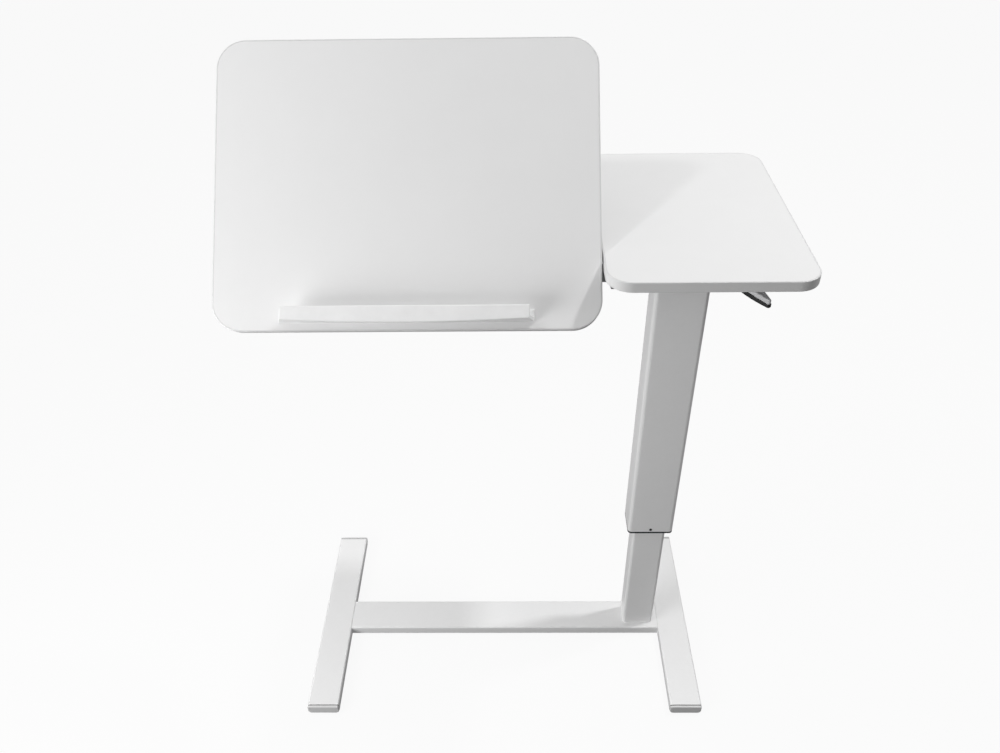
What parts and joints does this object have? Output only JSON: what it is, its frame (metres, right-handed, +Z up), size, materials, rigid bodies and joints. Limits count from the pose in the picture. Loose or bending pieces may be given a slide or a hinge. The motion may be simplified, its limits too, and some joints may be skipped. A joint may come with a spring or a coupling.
{
  "type": "reading table",
  "caption": "Height-adjustable reading table with an H base, a telescopic gas-lift column, a fixed side top and a tilting reading panel with a book ledge.",
  "frame": {"origin": "floor level, at the middle of the overall width and depth", "axes": "+X to the right as seen by the reader, +Y to the back, +Z up"},
  "size_m": [0.8, 0.432, 1.1901],
  "materials": {
    "white_powder_coat": "satin white powder coat with fine orange peel",
    "white_cap_plastic": "moulded, fine texture",
    "white_laminate_board": "fibreboard faced with white satin melamine",
    "white_edge_band": "satin edge band",
    "white_ledge_plastic": "satin moulding",
    "grey_pad_rubber": "matt",
    "black_plastic": "fine moulded texture",
    "grey_plastic": "satin moulding",
    "bearing_plastic": "smooth",
    "zinc_steel": "zinc plated",
    "grey_powder_coat": "satin grey powder coat",
    "black_oxide_steel": "black oxide",
    "black_cylinder_paint": "semi-gloss black",
    "chrome_rod": "polished"
  },
  "bodies": {
    "base": {"left_foot_tube": "white_powder_coat", "right_foot_tube": "white_powder_coat", "cross_beam": "white_powder_coat", "front_left_end_cap": "white_cap_plastic", "rear_left_end_cap": "white_cap_plastic", "front_right_end_cap": "white_cap_plastic", "rear_right_end_cap": "white_cap_plastic", "floor_pads": "grey_pad_rubber", "left_joint_tongue": "zinc_steel", "right_joint_tongue": "zinc_steel", "tongue_screws": "black_oxide_steel", "column_foot_block": "zinc_steel", "column_bolts": "black_oxide_steel", "column_washers": "zinc_steel", "inner_tube": "white_powder_coat", "upper_guide_bush": "grey_plastic", "gas_cylinder": "black_cylinder_paint", "cylinder_gland": "zinc_steel", "cylinder_nut": "zinc_steel"},
    "lift": {"outer_tube": "white_powder_coat", "lower_guide_bush": "black_plastic", "bush_screws": "black_oxide_steel", "gas_anchor_plate": "zinc_steel", "gas_rod": "chrome_rod", "rod_piston": "bearing_plastic", "rod_lock_nut": "zinc_steel", "head_plate": "zinc_steel", "board_screws": "zinc_steel", "side_board": "white_laminate_board", "side_edge_band": "white_edge_band", "lever_clevis": "zinc_steel", "lever_pivot_pin": "zinc_steel", "pivot_clip": "black_oxide_steel", "left_bearing_block": "grey_powder_coat", "right_bearing_block": "grey_powder_coat", "friction_bushes": "bearing_plastic", "tension_screws": "black_oxide_steel", "tension_nuts": "zinc_steel", "bearing_screws": "zinc_steel"},
    "lever": {"lever_arm": "zinc_steel", "paddle_top": "grey_plastic", "paddle_base": "black_plastic", "paddle_screws": "black_oxide_steel"},
    "pin": {"release_pin": "chrome_rod"},
    "panel": {"tilt_tube": "grey_powder_coat", "tilt_tube_caps": "black_plastic", "shaft_collars": "zinc_steel", "collar_set_screws": "black_oxide_steel", "panel_board": "white_laminate_board", "panel_edge_band": "white_edge_band", "left_saddle": "grey_powder_coat", "right_saddle": "grey_powder_coat", "saddle_screws": "zinc_steel", "saddle_bolts": "black_oxide_steel", "book_ledge": "white_ledge_plastic", "ledge_screws": "zinc_steel"}
  },
  "joints": [
    {"name": "height", "type": "slide", "parent": "base", "child": "lift", "axis": [0, 0, 1], "range_m": [-0.265, 0.105]},
    {"name": "panel_tilt", "type": "hinge", "parent": "lift", "child": "panel", "pos_m": [0, -0.118, 0.931], "axis": [1, 0, 0], "range_deg": [-48, 42]},
    {"name": "lever_lift", "type": "hinge", "parent": "lift", "child": "lever", "pos_m": [0.27448, -0.0408, 0.929], "axis": [-0.9272, -0.3746, 0], "range_deg": [0, 3.91], "stiffness_Nm_per_rad": 6, "springref_deg": -2.86},
    {"name": "pin_press", "type": "slide", "parent": "lift", "child": "pin", "axis": [0, 0, 1], "range_m": [-0.0031, 0]}
  ],
  "couplings": [
    {"joint": "pin_press", "follows": "lever_lift", "m_per_rad": -0.044}
  ]
}
